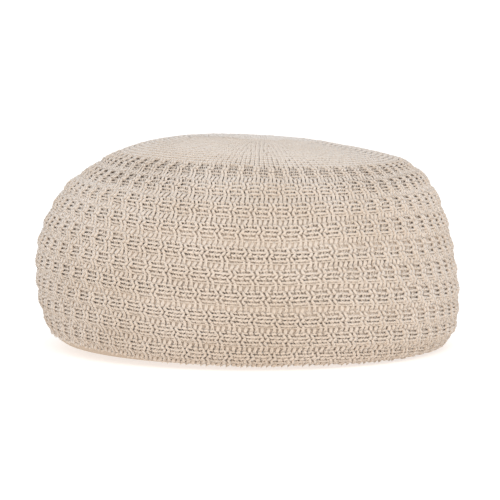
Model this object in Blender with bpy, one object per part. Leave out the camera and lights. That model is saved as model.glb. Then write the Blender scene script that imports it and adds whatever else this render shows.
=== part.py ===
"""Round knitted pouf: one filled solid that has slumped on its base and leans a little.

Metres, +Z up. The origin is on the floor, under the middle of the pouf.
"""
import math

import bmesh
import bpy
import numpy as np

# Heights on the cover are counted in courses, the rows of the knit: 0 is the gathered
# centre of the crown, 30 the shoulder, 60 the widest ring and 85 lies under the pouf.
SECTION_COLUMNS = ("course", "radius", "height", "shift_x", "lean_degrees")
SECTION_ROWS = (
    (0, 0.0, 0.2665, 0.014, 2.0),
    (3, 0.020, 0.2700, 0.014, 2.4),
    (9, 0.058, 0.2715, 0.014, 2.8),
    (18, 0.115, 0.2655, 0.013, 2.8),
    (25, 0.160, 0.2555, 0.012, 2.0),
    (30, 0.192, 0.2435, 0.0115, 1.4),
    (35, 0.219, 0.2245, 0.0105, 1.6),
    (40, 0.240, 0.202, 0.0075, 2.6),
    (45, 0.2545, 0.176, 0.005, 3.3),
    (50, 0.265, 0.148, 0.002, 3.7),
    (55, 0.272, 0.1205, 0.0, 3.9),
    (60, 0.275, 0.094, 0.0, 3.9),
    (65, 0.2745, 0.068, 0.0, 3.9),
    (70, 0.271, 0.043, -0.0005, 3.9),
    (75, 0.2585, 0.0175, -0.0045, 3.9),
    (80, 0.238, -0.006, -0.0135, 3.9),
    (85, 0.213, -0.020, -0.016, 3.9),
    (95, 0.150, -0.032, -0.013, 3.9),
)

SEGMENTS = 72                # points round each ring
CROWN_RINGS = (1.5, 3.0, 5.0, 8.0, 12.0, 16.0, 20.0, 24.0)   # courses of the plain crown
BAND_COURSES = 5.0           # one band of the basket pattern, five courses high
RINGS_IN_BAND = 4
FIRST_GROOVE = 27.5          # course where the plain crown meets the first band
LAST_GROOVE = 92.5           # course of the last ring, well under the pouf
BAND_RELIEF = 0.002          # how far a band stands out of the grooves beside it
RELIEF_ENDS = 77.5           # below this course the floor presses the bands flat
FLOOR_SOFTNESS = 0.006       # how gradually the side rolls under where it meets the floor
FLOOR_LIFT = 0.0006          # anything lower than this lies flat on the floor

KNIT_COLOUR = (0.638, 0.533, 0.440, 1.0)
KNIT_ROUGHNESS = 0.95


def section_at(course):
    """Radius, height, shift and lean of the ring at this course, on a smooth curve."""
    rows = np.array(SECTION_ROWS)
    courses = rows[:, 0]
    span = int(np.clip(np.searchsorted(courses, course, side="right") - 1, 0, len(courses) - 2))
    width = courses[span + 1] - courses[span]
    t = (course - courses[span]) / width
    values = []
    for column in range(1, len(SECTION_COLUMNS)):
        line = rows[:, column]
        slope = np.gradient(line, courses)
        values.append(
            (2 * t**3 - 3 * t**2 + 1) * line[span]
            + (t**3 - 2 * t**2 + t) * width * slope[span]
            + (3 * t**2 - 2 * t**3) * line[span + 1]
            + (t**3 - t**2) * width * slope[span + 1]
        )
    return values


def band_relief(course):
    """Each band swells in its middle and draws in at the plain row beside it."""
    if not FIRST_GROOVE < course < RELIEF_ENDS:
        return 0.0
    turn = 2 * math.pi * (course - FIRST_GROOVE) / BAND_COURSES
    return BAND_RELIEF * (1 - math.cos(turn)) / 2


def rest_on_floor(height):
    """Rounds the low side of the pouf into the flat patch that it rests on."""
    soft = FLOOR_SOFTNESS * math.log1p(math.exp(height / FLOOR_SOFTNESS))
    return soft if soft > FLOOR_LIFT else 0.0


def cover_point(course, angle):
    """Point on the cover: a tilted ring, shifted sideways, that rests on the floor."""
    radius, height, shift, lean = section_at(course)
    radius += band_relief(course) - (BAND_RELIEF / 2 if course > FIRST_GROOVE else 0.0)
    lean = math.radians(lean)
    x = shift + radius * math.cos(angle) * math.cos(lean)
    y = radius * math.sin(angle)
    z = height - radius * math.cos(angle) * math.sin(lean)
    return x, y, rest_on_floor(z)


def ring_courses():
    """Courses of all the rings, from the gathered centre to the middle of the base."""
    count = round((LAST_GROOVE - FIRST_GROOVE) / BAND_COURSES * RINGS_IN_BAND)
    step = BAND_COURSES / RINGS_IN_BAND
    return list(CROWN_RINGS) + [FIRST_GROOVE + step * index for index in range(count + 1)]


def lay_sphere_on_cover(mesh_data, courses):
    """Moves the rings of a unit sphere, from its top pole down, onto the cover."""
    top = max(mesh_data.verts, key=lambda vert: vert.co.z)
    bottom = min(mesh_data.verts, key=lambda vert: vert.co.z)
    for vert in mesh_data.verts:
        polar = math.acos(max(-1.0, min(1.0, vert.co.z)))
        angle = math.atan2(vert.co.y, vert.co.x)
        ring = round(polar / math.pi * (len(courses) + 1))
        if vert is top:
            vert.co = cover_point(0.0, 0.0)
        elif vert is bottom:
            vert.co = (0.0, 0.0, 0.0)
        else:
            vert.co = cover_point(courses[ring - 1], angle)


def flatten_base(mesh_data):
    """Makes one flat face of everything that lies on the floor."""
    flat = [face for face in mesh_data.faces if all(vert.co.z == 0.0 for vert in face.verts)]
    bmesh.ops.dissolve_faces(mesh_data, faces=flat, use_verts=True)


def centre_on_origin(mesh_data):
    """Brings the middle of the pouf over the origin."""
    xs = [vert.co.x for vert in mesh_data.verts]
    ys = [vert.co.y for vert in mesh_data.verts]
    middle = ((min(xs) + max(xs)) / 2, (min(ys) + max(ys)) / 2, 0.0)
    bmesh.ops.translate(mesh_data, verts=mesh_data.verts, vec=[-value for value in middle])


def make_material():
    material = bpy.data.materials.new("beige_knit")
    material.use_nodes = True
    shader = material.node_tree.nodes["Principled BSDF"]
    shader.inputs["Base Color"].default_value = KNIT_COLOUR
    shader.inputs["Roughness"].default_value = KNIT_ROUGHNESS
    shader.inputs["Metallic"].default_value = 0.0
    return material


def make_knit_cover(collection):
    """The filled cover, made from a sphere whose rings are laid on the section rows."""
    courses = ring_courses()
    mesh_data = bmesh.new()
    bmesh.ops.create_uvsphere(
        mesh_data, u_segments=SEGMENTS, v_segments=len(courses) + 1, radius=1.0
    )
    lay_sphere_on_cover(mesh_data, courses)
    flatten_base(mesh_data)
    centre_on_origin(mesh_data)
    bmesh.ops.recalc_face_normals(mesh_data, faces=mesh_data.faces)
    mesh = bpy.data.meshes.new("knit_cover")
    mesh_data.to_mesh(mesh)
    mesh_data.free()
    mesh.shade_smooth()
    mesh.set_sharp_from_angle(angle=math.radians(40))
    mesh.materials.append(make_material())
    cover = bpy.data.objects.new("knit_cover", mesh)
    collection.objects.link(cover)
    return cover


def main():
    for item in list(bpy.data.objects):
        bpy.data.objects.remove(item, do_unlink=True)
    collection = bpy.data.collections.new("round_pouf")
    bpy.context.scene.collection.children.link(collection)
    make_knit_cover(collection)


main()
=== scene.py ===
import math

import bpy
import numpy as np
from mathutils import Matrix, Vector


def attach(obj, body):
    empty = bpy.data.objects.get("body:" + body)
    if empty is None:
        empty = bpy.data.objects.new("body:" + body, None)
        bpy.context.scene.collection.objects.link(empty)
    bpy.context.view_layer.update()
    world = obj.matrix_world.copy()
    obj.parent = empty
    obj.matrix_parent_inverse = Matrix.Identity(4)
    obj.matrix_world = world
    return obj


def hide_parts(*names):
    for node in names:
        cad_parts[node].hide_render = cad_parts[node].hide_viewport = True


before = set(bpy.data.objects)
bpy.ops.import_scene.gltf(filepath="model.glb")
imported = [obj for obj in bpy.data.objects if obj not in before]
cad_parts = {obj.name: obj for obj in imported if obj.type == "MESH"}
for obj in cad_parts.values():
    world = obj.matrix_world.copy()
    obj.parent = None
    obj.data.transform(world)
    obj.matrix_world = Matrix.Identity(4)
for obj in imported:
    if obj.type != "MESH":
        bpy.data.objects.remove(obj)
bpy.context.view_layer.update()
bpy.ops.object.select_all(action="DESELECT")
print("frame loaded")

# Round knitted pouf. Heights on the cover are counted in courses, the rows of the knit:
# 0 is the gathered centre of the crown, 28.4 the top of the first band, 60 the widest ring.
coverShape = {
    # course, radius, height and shift to the right in metres, and lean in degrees
    "rings": (
        (0, 0.0, 0.2665, 0.014, 2.0),
        (3, 0.020, 0.2700, 0.014, 2.4),
        (9, 0.058, 0.2715, 0.014, 2.8),
        (18, 0.115, 0.2655, 0.013, 2.8),
        (25, 0.160, 0.2555, 0.012, 2.0),
        (30, 0.192, 0.2435, 0.0115, 1.4),
        (35, 0.219, 0.2245, 0.0105, 1.6),
        (40, 0.240, 0.202, 0.0075, 2.6),
        (45, 0.2545, 0.176, 0.005, 3.3),
        (50, 0.265, 0.148, 0.002, 3.7),
        (55, 0.272, 0.1205, 0.0, 3.9),
        (60, 0.275, 0.094, 0.0, 3.9),
        (65, 0.2745, 0.068, 0.0, 3.9),
        (70, 0.271, 0.043, -0.0005, 3.9),
        (75, 0.2585, 0.0175, -0.0045, 3.9),
        (80, 0.238, -0.006, -0.0135, 3.9),
        (85, 0.213, -0.020, -0.016, 3.9),
        (95, 0.150, -0.032, -0.013, 3.9),
    ),
    "middleX": 0.0,                 # set below, so that the pouf stands over the origin
    "floorSoftness": 0.006,         # how gradually the side rolls under at the floor
    "bandCourses": 5.0,
    "firstGroove": 27.5,
    "lastGroove": 77.5,
    "bandRelief": 0.002,
    "dimple": 0.006,                # how far the gathered centre is drawn in
    "dimpleSpread": 2.4,
    "gatherForward": 0.024,         # how far the gathered centre lies to the front
    "gatherSpread": 9,
    "shoulderLift": 0.0055,         # the right shoulder is fuller than the left
    "shoulderCourse": 36,
    "shoulderSpread": 9,
    "courseStep": 0.2,              # small steps that give the outward direction
    "angleStep": 0.004,
    "firstCourse": 0.05,
    "netCourses": (0.5, 84, 168),   # first, last and number, of the net that finds the middle
    "netAngles": 361,
}


def sectionAt(course):
    # radius, height, shift and lean of the ring at each course, on smooth curves
    rings = np.array(coverShape["rings"])
    courses = rings[:, 0]
    span = np.clip(np.searchsorted(courses, course, side="right") - 1, 0, len(courses) - 2)
    width = courses[span + 1] - courses[span]
    t = (course - courses[span]) / width
    values = []
    for column in range(1, rings.shape[1]):
        line = rings[:, column]
        slope = np.gradient(line, courses)
        values.append(
            (2 * t**3 - 3 * t**2 + 1) * line[span]
            + (t**3 - 2 * t**2 + t) * width * slope[span]
            + (3 * t**2 - 2 * t**3) * line[span + 1]
            + (t**3 - t**2) * width * slope[span + 1]
        )
    return values


def bandRelief(course):
    # the bands swell out by as much as the grooves between them sink in
    below = course > coverShape["firstGroove"]
    inside = below & (course < coverShape["lastGroove"])
    turn = 2 * math.pi * (course - coverShape["firstGroove"]) / coverShape["bandCourses"]
    swell = coverShape["bandRelief"] * (1 - np.cos(turn)) / 2
    return np.where(inside, swell, 0.0) - np.where(below, coverShape["bandRelief"] / 2, 0.0)


def coverPoint(course, angle):
    # a point on the outside of the cover; the angle runs from the front to the right
    radius, height, shift, lean = sectionAt(course)
    radius = radius + bandRelief(course)
    lean = np.radians(lean)
    x = shift - coverShape["middleX"] + radius * np.sin(angle) * np.cos(lean)
    y = -radius * np.cos(angle)
    y = y - coverShape["gatherForward"] * np.exp(-((course / coverShape["gatherSpread"]) ** 2))
    z = height - radius * np.sin(angle) * np.sin(lean)
    z = z - coverShape["dimple"] * np.exp(-((course / coverShape["dimpleSpread"]) ** 2))
    fullness = np.exp(-((course - coverShape["shoulderCourse"]) / coverShape["shoulderSpread"]) ** 2)
    z = z + coverShape["shoulderLift"] * np.clip(np.sin(angle), 0, 1) ** 2 * fullness
    soft = coverShape["floorSoftness"]
    z = soft * np.logaddexp(0, z / soft)
    return np.stack([x, y, z], -1)


def coverNormal(course, angle):
    # outward direction, from small steps along the two ways of the knit
    step = coverShape["courseStep"]
    above = np.maximum(course - step, coverShape["firstCourse"])
    down = coverPoint(course + step, angle) - coverPoint(above, angle)
    turn = coverShape["angleStep"]
    across = coverPoint(course, angle + turn) - coverPoint(course, angle - turn)
    normal = np.cross(down, across)
    return normal / np.maximum(np.linalg.norm(normal, axis=-1, keepdims=True), 1e-12)


def findMiddle():
    # where the middle of the cover lies from left to right
    courses, angles = np.meshgrid(np.linspace(*coverShape["netCourses"]),
                                  np.linspace(-math.pi, math.pi, coverShape["netAngles"]))
    net = coverPoint(courses.ravel(), angles.ravel())
    return (net[:, 0].min() + net[:, 0].max()) / 2


coverShape["middleX"] = findMiddle()
print("cover shape ready, middle at", round(float(coverShape["middleX"]), 5))


class Value:
    # wraps a number socket, so that shader sums are written as plain Python

    def __init__(self, shop, socket):
        self.shop = shop
        self.socket = socket

    def work(self, operation, *numbers):
        return self.shop.add("ShaderNodeMath", {"operation": operation}, dict(enumerate(numbers)))

    def __add__(self, other):
        return self.work("ADD", self, other)

    def __radd__(self, other):
        return self.work("ADD", other, self)

    def __sub__(self, other):
        return self.work("SUBTRACT", self, other)

    def __rsub__(self, other):
        return self.work("SUBTRACT", other, self)

    def __mul__(self, other):
        return self.work("MULTIPLY", self, other)

    def __rmul__(self, other):
        return self.work("MULTIPLY", other, self)

    def sine(self):
        return self.work("SINE", self)

    def clamped(self):
        return self.shop.add("ShaderNodeClamp", {}, {"Value": self})


class Workshop:
    # builds one material out of nodes

    def __init__(self, name):
        self.material = bpy.data.materials.new(name)
        self.material.use_nodes = True
        self.tree = self.material.node_tree
        self.shader = self.tree.nodes["Principled BSDF"]

    def add(self, kind, settings, inputs, output=0):
        node = self.tree.nodes.new(kind)
        for key, value in settings.items():
            setattr(node, key, value)
        for key, value in inputs.items():
            self.feed(node.inputs[key], value)
        return Value(self, node.outputs[output])

    def feed(self, socket, value):
        if isinstance(value, Value):
            self.tree.links.new(value.socket, socket)
        else:
            socket.default_value = value

    def noise(self, place, scale, detail):
        return self.add("ShaderNodeTexNoise", {}, {"Vector": place, "Scale": scale, "Detail": detail})

    def bump(self, height, strength, distance):
        return self.add("ShaderNodeBump", {},
                        {"Height": height, "Strength": strength, "Distance": distance})

    def mixColours(self, factor, first, second):
        return self.add("ShaderNodeMix", {"data_type": "RGBA"}, {0: factor, 6: first, 7: second},
                        output=2)

    def set(self, **values):
        for name, value in values.items():
            self.feed(self.shader.inputs[name.replace("_", " ")], value)


yarnFinish = {
    "light": (0.70, 0.59, 0.49, 1.0),
    "warm": (0.62, 0.50, 0.39, 1.0),
    # painted shade: the colour that strands lying inwards in the knit are darkened towards
    "deep": (0.36, 0.28, 0.20, 1.0),
    "plies": 3,
    "twistLength": 0.011,       # one turn of the plies, in metres along the yarn
    "blotchScale": 14.0,        # slow changes from the light colour to the warm one
    "blotchDetail": 3.0,
    "blotchGain": 2.0,
    "blotchStart": 0.5,
    "fibreScale": 900.0,        # fine grain of the fibres
    "fibreDetail": 2.0,
    "plyTint": 0.25,            # how much warmer the plies and the fibres are coloured
    "fibreTint": 0.2,
    "plyHeight": 0.7,           # shares of the plies and the fibres in the bump
    "fibreHeight": 0.3,
    "bumpStrength": 0.5,
    "bumpDistance": 0.0006,
    "roughness": 0.92,
    "specular": 0.2,
    "sheen": 0.5,
    "sheenRoughness": 0.5,
    "sides": 4,                 # flat sides of the modelled strand, shaded round
    "shadeStart": 0.2,          # painted shade: the yarn's colour gets darker from here inwards, in yarn radii
    "shadeSpan": 1.4,
    "shadeMost": 0.25,
}


def makeYarnMaterial(name):
    form = yarnFinish
    shop = Workshop(name)
    place = shop.add("ShaderNodeTexCoord", {}, {}, output="Object")
    strand = shop.add("ShaderNodeUVMap", {"uv_map": "strand"}, {})
    along = shop.add("ShaderNodeSeparateXYZ", {}, {0: strand}, output="X")
    around = shop.add("ShaderNodeSeparateXYZ", {}, {0: strand}, output="Y")
    paintedShade = shop.add("ShaderNodeAttribute", {"attribute_name": "paintedYarnShade"}, {}, output="Fac")
    twist = along * (1 / form["twistLength"]) + around * form["plies"]
    ply = (twist * (2 * math.pi)).sine() * 0.5 + 0.5      # 0 between the plies, 1 on top of them
    blotch = shop.noise(place, form["blotchScale"], form["blotchDetail"])
    fibre = shop.noise(place, form["fibreScale"], form["fibreDetail"])
    warmth = (blotch * form["blotchGain"] - form["blotchStart"]).clamped()
    tone = shop.mixColours(warmth, form["light"], form["warm"])
    tint = (ply * form["plyTint"] + fibre * form["fibreTint"]).clamped()
    tone = shop.mixColours(tint, tone, form["warm"])
    # painted shade: strands that lie further inwards in the knit are mixed towards the deep colour
    tone = shop.mixColours(paintedShade.clamped(), tone, form["deep"])
    height = ply * form["plyHeight"] + fibre * form["fibreHeight"]
    shop.set(Base_Color=tone, Roughness=form["roughness"],
             Normal=shop.bump(height, form["bumpStrength"], form["bumpDistance"]),
             Sheen_Weight=form["sheen"], Sheen_Roughness=form["sheenRoughness"],
             Specular_IOR_Level=form["specular"])
    return shop.material


def makeYarnPiece(name, points, normals, radius, paintedShade, material):
    # one closed ring of yarn for each row of points
    sides = yarnFinish["sides"]
    rings, count = points.shape[:2]
    forward = np.roll(points, -1, axis=1) - np.roll(points, 1, axis=1)
    forward /= np.linalg.norm(forward, axis=-1, keepdims=True)
    side = np.cross(normals, forward)
    side /= np.linalg.norm(side, axis=-1, keepdims=True)
    rise = np.cross(forward, side)
    turn = (np.arange(sides) + 0.5) * 2 * math.pi / sides
    circle = np.cos(turn)[:, None] * side[:, :, None, :] + np.sin(turn)[:, None] * rise[:, :, None, :]
    vertices = points[:, :, None, :] + radius[:, :, None, None] * circle
    first = np.arange(rings)[:, None, None] * count * sides
    here = np.arange(count)[None, :, None] * sides
    following = (np.arange(count)[None, :, None] + 1) % count * sides
    corner = np.arange(sides)[None, None, :]
    nextCorner = (corner + 1) % sides
    quads = np.stack([first + here + corner, first + following + corner,
                      first + following + nextCorner, first + here + nextCorner], -1)
    # the strand's own map: metres along the yarn, and 0 to 1 round it
    gap = np.linalg.norm(np.roll(points, -1, axis=1) - points, axis=-1)
    ends = np.cumsum(gap, axis=1)
    starts = ends - gap
    low = np.broadcast_to(starts[:, :, None], quads.shape[:3])
    high = np.broadcast_to(ends[:, :, None], quads.shape[:3])
    edge = np.broadcast_to(corner / sides, quads.shape[:3])
    edgeNext = edge + 1 / sides
    uv = np.stack([np.stack([low, edge], -1), np.stack([high, edge], -1),
                   np.stack([high, edgeNext], -1), np.stack([low, edgeNext], -1)], -2)
    quads = quads.reshape(-1, 4)
    mesh = bpy.data.meshes.new(name)
    mesh.vertices.add(vertices.size // 3)
    mesh.vertices.foreach_set("co", vertices.astype(np.float32).ravel())
    mesh.loops.add(quads.size)
    mesh.loops.foreach_set("vertex_index", quads.ravel().astype(np.int32))
    mesh.polygons.add(len(quads))
    mesh.polygons.foreach_set("loop_start", np.arange(len(quads), dtype=np.int32) * 4)
    mesh.update(calc_edges=True)
    layer = mesh.uv_layers.new(name="strand")
    layer.uv.foreach_set("vector", uv.astype(np.float32).ravel())
    # the painted shade of each strand, kept on its points for the material
    shade = mesh.attributes.new("paintedYarnShade", "FLOAT", "POINT")
    shade.data.foreach_set("value", np.repeat(paintedShade.ravel(), sides).astype(np.float32))
    mesh.shade_smooth()
    mesh.materials.append(material)
    piece = bpy.data.objects.new(name, mesh)
    bpy.context.scene.collection.objects.link(piece)
    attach(piece, "root")
    print(name, len(quads) * 2, "triangles")


# A stitch is eight points of the strand: across in wales, down in rows, out in yarn radii.
bar, leftFoot, leftLeg, leftShoulder, loop, rightShoulder, rightLeg, rightFoot = range(8)
stitchForms = {
    "knit": ((-0.5, 0.00, 0.0), (-0.05, 0.12, -0.1), (-0.07, 0.50, 0.9), (-0.11, 0.95, 0.6),
             (0.0, 1.10, 0.0), (0.11, 0.95, 0.6), (0.07, 0.50, 0.9), (0.05, 0.12, -0.1)),
    "purl": ((-0.5, 0.04, 0.0), (-0.26, 0.10, 0.15), (-0.26, 0.50, -1.7), (-0.28, 0.98, 0.15),
             (0.0, 1.07, 0.0), (0.28, 0.98, 0.15), (0.26, 0.50, -1.7), (0.26, 0.10, 0.15)),
    # the row all in knit, and the crown
    "plain": ((-0.5, 0.00, -0.5), (-0.08, 0.05, -0.2), (-0.12, 0.45, 0.0), (-0.17, 0.88, -0.1),
              (0.0, 1.10, 0.0), (0.17, 0.88, -0.1), (0.12, 0.45, 0.0), (0.08, 0.05, -0.2)),
    "crown": ((-0.5, 0.00, 0.0), (-0.20, 0.08, -0.2), (-0.24, 0.45, 0.7), (-0.27, 0.90, 0.4),
              (0.0, 1.16, 0.0), (0.27, 0.90, 0.4), (0.24, 0.45, 0.7), (0.20, 0.08, -0.2)),
    "barLevel": 0.45,           # how far the bars between purl stitches stand out
    "plainBar": 0.4,            # share of its depth that the bar of a plain stitch keeps
    "innerLeg": (0.34, -0.7),   # legs inside a purl block, across and out
    "plainFoot": 0.6,           # how far the feet and shoulders of a plain stitch go in or out
    "plainShoulder": 0.45,
    "plainNarrow": 0.06,
    "leavingShoulder": -0.4,    # where a purl block ends above a row in knit
}

bandKnit = {
    "wales": 248,               # stitches round each row
    "rows": 50,
    "rowsInBand": 5,            # four rows of two-by-two blocks, then one all in knit
    "rowsInPiece": 10,
    "repeat": 4,                # two stitches in knit, two in purl
    "phase": -0.57,             # in wales, from the front
    "yarnRadius": 0.00175,
    "inset": 0.0026,            # the middle of the knit lies this far under the cover's outside
    "deep": 0.85,               # how far a strand goes in or out, in yarn radii
    "looseness": (0.04, 0.04, 0.12),
    "seed": 11,
    "wobble": (0.10, 0.12),     # slow waves of the knit, in wales and rows
    "wobbleSeeds": (21, 22),
    "wobbleTurns": (2, 3, 5, 7, 11),
    "wobbleSlant": 0.4,
    "wobblePhase": 6.3,
    # the row all in knit is longer than the others, and the row above it shorter
    "evenRows": (0, 3, 4.05, 5),
    "pulledRows": (0, 3, 3.65, 5),
    # the columns run in a zigzag, and those of the knit a little closer than those of the purl
    "zigzagRows": (-0.45, 0.35, 1.38, 2.4, 3.4, 4.55, 5.35),
    "zigzag": (0.25, -0.25, 0.25, -0.25, 0.25, 0.25, -0.25),
    "squeeze": 0.07,
    "squeezeMiddle": 0.5,
    "bandLead": 0.3,            # a band's strands begin this many rows above it
    # where each band starts, and how it sinks or rises round the pouf, in courses, and how much
    # of that each band has
    "bandStarts": (28.4, 33.7, 38.92, 43.87, 48.57, 53.42, 58.27, 63.37, 68.4, 73.4, 78.4, 83.4),
    "driftAngles": (-180, -90, -47, -36, -24, -12, 0, 11, 23, 35, 50, 90, 180),
    "drift": (-0.8, -0.8, -0.5, -0.2, 0.22, 0.42, 0.36, 0.0, -0.85, -1.2, -1.4, -1.2, -0.8),
    "driftShare": (0.2, 0.6, 0.87, 1.15, 1.25, 1.25, 1.15, 1.0, 1.0, 1.0, 1.0),
    # how far each band is turned round the pouf, in wales, and how much of that each angle has
    "lag": (0.1, 0.0, 0.0, -0.08, -0.16, -0.38, -0.7, -0.88, -0.95, -0.95, -0.95),
    "lagAngles": (-180, -90, 5, 30, 50, 90, 180),
    "lagShare": (0.9, 1.0, 1.0, 0.3, -0.2, 0.2, 0.9),
    # the same for the top bands alone
    "topShare": (1.0, 0.8, 0.5, 0.15, 0.0),
    "topAngles": (-180, -90, -47, -24, 0, 11, 23, 35, 46, 90, 180),
    "topDrift": (0.0, -0.6, -0.7, -0.5, -0.2, 0.35, 0.45, 0.6, 0.7, 0.6, 0.0),
    "topLag": (0.0, 0.1, 0.2, 0.0, 0.0, -0.5, -0.7, -0.75, -0.3, 0.0, 0.0),
    # purl stitches have thinner yarn at the left and right, which opens the holes in their blocks
    "sidesGain": 2.1,
    "sidesStart": 0.7,
    "sideThinning": 0.34,
    "openHoles": 0.5,           # the same in the first band, and in the second at its sides
    "openRow": 1.5,
    "openSpread": 2.2,
    "openRows": 11,
    "openFade": 3,
    # all yarn is thinner where the shoulder pulls the knit open
    "stretch": 0.26,
    "stretchCourse": 32,
    "stretchSpread": 5,
    "stretchTop": 28.6,
    "stretchGain": 2,
    "stretchStart": 0.3,
    # and a little fuller at the left and right from the second band down
    "fullness": 0.17,
    "fullStart": 33,
    "fullFade": 4,
}


def isKnitStitch(row, wale):
    count = bandKnit["rowsInBand"]
    half = bandKnit["repeat"] // 2
    return (row % count == count - 1) | ((wale + half * (row // count % 2)) % bandKnit["repeat"] < half)


def slide(across, down):
    # how far the columns' zigzag and the squeeze of the blocks move a strand, in wales
    form = bandKnit
    rows = np.array(form["zigzagRows"])
    knots = np.array(form["zigzag"])
    place = np.mod(down, form["rowsInBand"])
    step = np.clip(np.searchsorted(rows, place, side="right") - 1, 0, len(rows) - 2)
    share = (1 - np.cos(math.pi * (place - rows[step]) / (rows[step + 1] - rows[step]))) / 2
    zigzag = knots[step] * (1 - share) + knots[step + 1] * share
    band = np.floor((down + form["bandLead"]) / form["rowsInBand"])
    aside = form["repeat"] // 2 * np.mod(band, 2)
    turn = 2 * math.pi * (across - form["squeezeMiddle"] + aside) / form["repeat"]
    return zigzag - form["squeeze"] * np.sin(turn)


def layStitches(face, faceNext, faceLeft, plain, plainForm, deep):
    # the points of every stitch of some rows, from its face: 1 for knit, -1 for purl
    form = stitchForms
    sideways, outward = 0, 2
    steps = np.where(face[..., None, None] > 0, np.array(form["knit"]), np.array(form["purl"]))
    steps = np.where(plain[..., None, None], np.array(plainForm), steps)
    steps[..., bar, outward] = -(face + faceLeft) / 2 * deep
    steps[..., loop, outward] = -faceNext * deep
    steps[..., bar, outward] *= np.where(plain, form["plainBar"], 1.0)
    low = form["barLevel"] / deep
    steps[..., bar, outward] *= np.where((face < 0) & (faceLeft < 0), low, 1.0)
    steps[..., loop, outward] *= np.where((faceNext < 0) & ~plain, low, 1.0)
    faceRight = np.roll(face, -1, axis=1)
    legPlace, legLevel = form["innerLeg"]
    for leg, beside, place in ((leftLeg, faceLeft, -legPlace), (rightLeg, faceRight, legPlace)):
        inner = (face < 0) & (beside < 0)
        steps[..., leg, sideways] = np.where(inner, place, steps[..., leg, sideways])
        steps[..., leg, outward] = np.where(inner, legLevel, steps[..., leg, outward])
    for side, foot, shoulder in ((1, rightFoot, rightShoulder), (-1, leftFoot, leftShoulder)):
        # down a plain stitch the strand goes back above a purl block, and forward above a knit one
        steps[..., foot, outward] -= np.where(plain, form["plainFoot"] * faceNext, 0.0)
        steps[..., shoulder, outward] += np.where(plain, form["plainShoulder"] * faceNext, 0.0)
        steps[..., shoulder, sideways] -= np.where(plain, form["plainNarrow"] * side * faceNext, 0.0)
    leaving = (face < 0) & (faceNext > 0)
    for shoulder in (leftShoulder, rightShoulder):
        steps[..., shoulder, outward] = np.where(leaving, form["leavingShoulder"],
                                                 steps[..., shoulder, outward])
    return steps


def slowWaves(angle, course, seed):
    # smooth numbers round 0, the same on both sides of the back seam of the angles
    form = bandKnit
    dice = np.random.default_rng(seed)
    total = np.zeros(np.shape(angle))
    for turns in form["wobbleTurns"]:
        slant = dice.uniform(-form["wobbleSlant"], form["wobbleSlant"])
        total = total + np.sin(turns * angle + course * slant + dice.uniform(0, form["wobblePhase"]))
    return total / 2


def towardSides(angle, gain, start):
    # 0 at the front and the back, 1 at the left and the right
    return np.clip(np.abs(np.sin(angle)) * gain - start, 0, 1)


def layYarn(name, angle, course, out, thinning, form, material):
    # lays rows of points on the cover and makes them yarn
    normals = coverNormal(course, angle)
    points = coverPoint(course, angle) + normals * (out * form["yarnRadius"] - form["inset"])[..., None]
    points[..., 2] = np.maximum(points[..., 2], form["yarnRadius"])
    bands = bandKnit
    pull = np.exp(-((course - bands["stretchCourse"]) / bands["stretchSpread"]) ** 2)
    pull = pull * towardSides(angle, bands["stretchGain"], bands["stretchStart"])
    pull = np.where(course > bands["stretchTop"], pull, 0.0)
    packed = towardSides(angle, bands["sidesGain"], bands["sidesStart"])
    packed = packed * np.clip((course - bands["fullStart"]) / bands["fullFade"], 0, 1)
    radius = form["yarnRadius"] * (1 - bands["stretch"] * pull) * (1 - thinning)
    radius = radius * (1 + bands["fullness"] * packed)
    # painted shade: the further inwards a strand lies, the darker its colour
    shade = np.clip((yarnFinish["shadeStart"] - out) / yarnFinish["shadeSpan"], 0, 1)
    makeYarnPiece(name, points, normals, radius, shade * yarnFinish["shadeMost"], material)


def placeOnCover(across, down):
    # angle and course of points of the knit; its rows aren't quite level on the real pouf
    form = bandKnit
    band = down / form["rowsInBand"]
    degrees = np.mod((across + form["phase"]) * 360 / form["wales"] + 180, 360) - 180
    lag = np.interp(band, np.arange(len(form["lag"])), form["lag"])
    lag = lag * np.interp(degrees, form["lagAngles"], form["lagShare"])
    top = np.interp(band, np.arange(len(form["topShare"])), form["topShare"])
    lag = lag + top * np.interp(degrees, form["topAngles"], form["topLag"])
    angle = (across + form["phase"] + lag) * 2 * math.pi / form["wales"]
    course = np.interp(band, np.arange(len(form["bandStarts"])), form["bandStarts"])
    drift = np.interp(degrees, form["driftAngles"], form["drift"])
    drift = drift * np.interp(band, np.arange(len(form["driftShare"])), form["driftShare"])
    drift = drift + top * np.interp(degrees, form["topAngles"], form["topDrift"])
    acrossWaves, downWaves = form["wobble"]
    acrossSeed, downSeed = form["wobbleSeeds"]
    angle = angle + slowWaves(angle, course, acrossSeed) * acrossWaves * 2 * math.pi / form["wales"]
    course = course + slowWaves(angle, course, downSeed) * downWaves
    return angle, course + drift


def purlThinning(across, down):
    # how much thinner the yarn of purl stitches is, as a share
    form = bandKnit
    angle = (across + form["phase"]) * 2 * math.pi / form["wales"]
    sides = towardSides(angle, form["sidesGain"], form["sidesStart"])
    thinning = form["openHoles"] * np.exp(-(((down - form["openRow"]) / form["openSpread"]) ** 2))
    thinning = np.maximum(thinning, form["sideThinning"] * sides)
    opened = form["openHoles"] * sides * np.clip((form["openRows"] - down) / form["openFade"], 0, 1)
    return np.maximum(thinning, opened)


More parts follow.
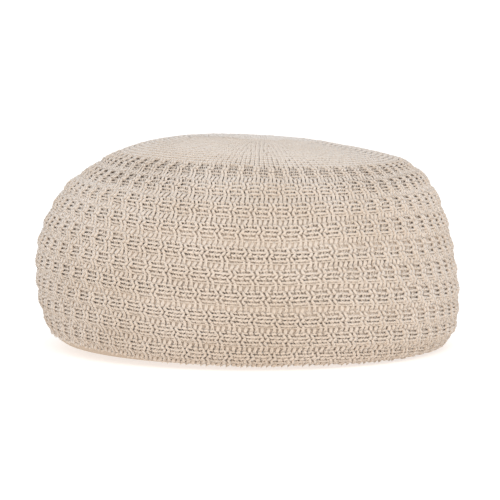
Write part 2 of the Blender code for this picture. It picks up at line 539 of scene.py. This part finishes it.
def makeBandKnit(material):
    form = bandKnit
    dice = np.random.default_rng(form["seed"])
    wale = np.arange(form["wales"])[None, :]
    for start in range(0, form["rows"], form["rowsInPiece"]):
        row = np.arange(start, start + form["rowsInPiece"])[:, None]
        face = np.where(isKnitStitch(row, wale), 1.0, -1.0)
        faceNext = np.where(isKnitStitch(row + 1, wale), 1.0, -1.0)
        plain = (row + 0 * wale) % form["rowsInBand"] == form["rowsInBand"] - 1
        steps = layStitches(face, faceNext, np.roll(face, 1, axis=1), plain,
                            stitchForms["plain"], form["deep"])
        steps = steps + dice.normal(0, 1, face.shape + (1, 3)) * np.array(form["looseness"])
        across = (steps[..., 0] + wale[..., None]).reshape(len(row), -1)
        down = (steps[..., 1] + row[..., None]).reshape(len(row), -1)
        out = steps[..., 2].reshape(len(row), -1)
        band = np.floor(down / form["rowsInBand"]) * form["rowsInBand"]
        down = band + np.interp(down - band, form["evenRows"], form["pulledRows"])
        across = across + slide(across, down)
        angle, course = placeOnCover(across, down)
        purl = np.repeat(face < 0, steps.shape[2], axis=1)
        layYarn("knit_bands_%d" % (start // form["rowsInPiece"] + 1), angle, course, out,
                purlThinning(across, down) * purl, form, material)


crownKnit = {
    # first and last course of each ring of stitches, and its stitches round
    "zones": ((21, 28.4, 186), (17, 21, 148), (13, 17, 114), (10, 13, 86), (7, 10, 62),
              (5, 7, 42), (3, 5, 28), (1, 3, 14)),
    "rowHeight": 1.0,
    "yarnRadius": 0.0018,
    "inset": 0.0026,
    "deep": 0.9,
    "sink": 0.2,                # in yarn radii
    "looseness": (0.05, 0.04, 0.1),
    "seed": 5,
    "driftStart": 15,           # from here outwards its rows follow those of the first band
    "driftFade": 14,
}


def makeCrownKnit(material):
    form = crownKnit
    dice = np.random.default_rng(form["seed"])
    for index, (top, bottom, wales) in enumerate(form["zones"]):
        count = round((bottom - top) / form["rowHeight"])
        row = np.arange(count)[:, None]
        wale = np.arange(wales)[None, :]
        face = np.ones((count, wales))
        steps = layStitches(face, face, face, face > 0, stitchForms["crown"], form["deep"])
        steps[..., 2] -= form["sink"]
        steps = steps + dice.normal(0, 1, face.shape + (1, 3)) * np.array(form["looseness"])
        angle = (steps[..., 0] + wale[..., None]).reshape(count, -1) * 2 * math.pi / wales
        down = (steps[..., 1] + row[..., None]).reshape(count, -1)
        out = steps[..., 2].reshape(count, -1)
        course = top + down * (bottom - top) / count
        degrees = np.mod(np.degrees(angle) + 180, 360) - 180
        drift = np.interp(degrees, bandKnit["driftAngles"], bandKnit["drift"]) * bandKnit["driftShare"][0]
        drift = drift + np.interp(degrees, bandKnit["topAngles"], bandKnit["topDrift"])
        course = course + drift * np.clip((course - form["driftStart"]) / form["driftFade"], 0, 1)
        layYarn("knit_crown_%d" % (index + 1), angle, course, out, 0.0, form, material)


yarnMaterial = makeYarnMaterial("beigeYarn")
makeBandKnit(yarnMaterial)
makeCrownKnit(yarnMaterial)
print("knit done")


# the padded body under the knit closes the holes of the stitches; its colour, darker than the yarn's, is
# partly painted shade in those holes
paddedBody = {
    "inset": 0.0042,
    "hollow": 0.006,            # deeper under the gathered centre
    "hollowSpread": 2.0,
    "pullIn": 0.0025,           # deeper under the first two bands
    "pullCourse": 33,
    "pullSpread": 6,
    "centreDip": 0.001,
    "floorGap": 0.0012,
    "segments": 96,
    # the courses of its rings, from pole to pole
    "courses": (0.05, 1.5, 4, 8, 12, 16, 20, 24, 28, 31, 34, 37, 40, 43, 46, 49, 52, 55, 58, 61, 64,
                67, 70, 72, 74, 76, 78, 80, 82, 84, 88, 92, 94),
    # the wadding's colours, set below the yarn's as painted shade for the holes between the stitches
    "dark": (0.50, 0.40, 0.31, 1.0),
    "light": (0.60, 0.49, 0.39, 1.0),
    "roughness": 0.95,
    "grainScale": 400.0,
    "grainDetail": 4.0,
    "bumpStrength": 0.6,
    "bumpDistance": 0.001,
    "fill": 0.9,
}


def makePaddedBody():
    form = paddedBody
    shop = Workshop("shadedWadding")
    place = shop.add("ShaderNodeTexCoord", {}, {}, output="Object")
    grain = shop.noise(place, form["grainScale"], form["grainDetail"])
    shop.set(Base_Color=shop.mixColours(grain, form["dark"], form["light"]),
             Roughness=form["roughness"],
             Normal=shop.bump(grain, form["bumpStrength"], form["bumpDistance"]))
    courses = np.array(form["courses"])
    ringCount = len(courses) - 1
    bpy.ops.object.select_all(action="DESELECT")
    bpy.ops.mesh.primitive_uv_sphere_add(segments=form["segments"], ring_count=ringCount, radius=1.0)
    body = bpy.context.object
    body.name = "padded_body"
    mesh = body.data
    mesh.name = "padded_body"
    places = np.empty(len(mesh.vertices) * 3)
    mesh.vertices.foreach_get("co", places)
    places = places.reshape(-1, 3)
    polar = np.arccos(np.clip(places[:, 2], -1, 1))
    ring = np.rint(polar / math.pi * ringCount).astype(int)
    course = courses[ring]
    angle = np.arctan2(places[:, 0], -places[:, 1])
    inset = form["inset"] + form["hollow"] * np.exp(-((course / form["hollowSpread"]) ** 2))
    pull = np.exp(-(((course - form["pullCourse"]) / form["pullSpread"]) ** 2))
    inset = inset + form["pullIn"] * pull
    points = coverPoint(course, angle) - coverNormal(course, angle) * inset[:, None]
    points[:, 2] = np.maximum(points[:, 2], form["floorGap"])
    points[ring == 0] = points[ring == 1].mean(axis=0) - np.array([0, 0, form["centreDip"]])
    points[ring == ringCount] = (0, 0, form["floorGap"])
    mesh.vertices.foreach_set("co", points.astype(np.float32).ravel())
    mesh.update()
    mesh.shade_smooth()
    mesh.materials.append(shop.material)
    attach(body, "root")
    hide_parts("knit_cover")


makePaddedBody()
print("padded body done")


studio = {
    "floorSize": 400.0,
    "floorColour": (0.60, 0.54, 0.48, 1.0),
    "floorRoughness": 0.9,
    "floorGlow": 0.6,
    "lightColour": (1.0, 1.0, 1.0, 1.0),    # of the floor's glow, and of the sky at eye level
    "skyColour": (0.80, 0.92, 1.08, 1.0),   # straight above
    "worldStrength": 1.0,
    "cameraPlace": (0.00325, -4.0, 0.52),
    "cameraTarget": (0.00325, 0.0, 0.1245),
    "lens": 222.6,
    "sensorWidth": 36.0,
    "keyPower": 61.0,
    "keySize": 2.5,
    "keyPlace": (0.3, -3.0, 2.4),
    "keyTarget": (0, 0, 0.15),
}


def lookAt(item, target):
    item.rotation_euler = (target - item.location).to_track_quat("-Z", "Y").to_euler()


def makeStudio():
    form = studio
    scene = bpy.context.scene
    bpy.ops.object.select_all(action="DESELECT")
    bpy.ops.mesh.primitive_plane_add(size=form["floorSize"])
    floor = bpy.context.object
    floor.name = "studio_floor"
    shop = Workshop("paleFloor")
    shop.set(Base_Color=form["floorColour"], Roughness=form["floorRoughness"],
             Emission_Color=form["lightColour"], Emission_Strength=form["floorGlow"])
    floor.data.materials.append(shop.material)
    world = bpy.data.worlds.new("softStudio")
    world.use_nodes = True
    tree = world.node_tree
    background = tree.nodes["Background"]
    background.inputs["Strength"].default_value = form["worldStrength"]
    direction = tree.nodes.new("ShaderNodeTexCoord")
    parts = tree.nodes.new("ShaderNodeSeparateXYZ")
    tree.links.new(direction.outputs["Generated"], parts.inputs[0])
    blend = tree.nodes.new("ShaderNodeMix")
    blend.data_type = "RGBA"
    blend.inputs[6].default_value = form["lightColour"]
    blend.inputs[7].default_value = form["skyColour"]
    tree.links.new(parts.outputs["Z"], blend.inputs[0])
    tree.links.new(blend.outputs[2], background.inputs["Color"])
    scene.world = world
    light = bpy.data.lights.new("softKey", "AREA")
    light.energy = form["keyPower"]
    light.size = form["keySize"]
    lamp = bpy.data.objects.new("softKey", light)
    lamp.location = form["keyPlace"]
    lookAt(lamp, Vector(form["keyTarget"]))
    scene.collection.objects.link(lamp)
    camera = bpy.data.cameras.new("photoView")
    camera.lens = form["lens"]
    camera.sensor_width = form["sensorWidth"]
    eye = bpy.data.objects.new("photoView", camera)
    shift = Vector((coverShape["middleX"], 0, 0))
    eye.location = Vector(form["cameraPlace"]) - shift
    lookAt(eye, Vector(form["cameraTarget"]) - shift)
    scene.collection.objects.link(eye)
    scene.camera = eye
    scene.view_settings.view_transform = "Standard"


makeStudio()
print("studio done")
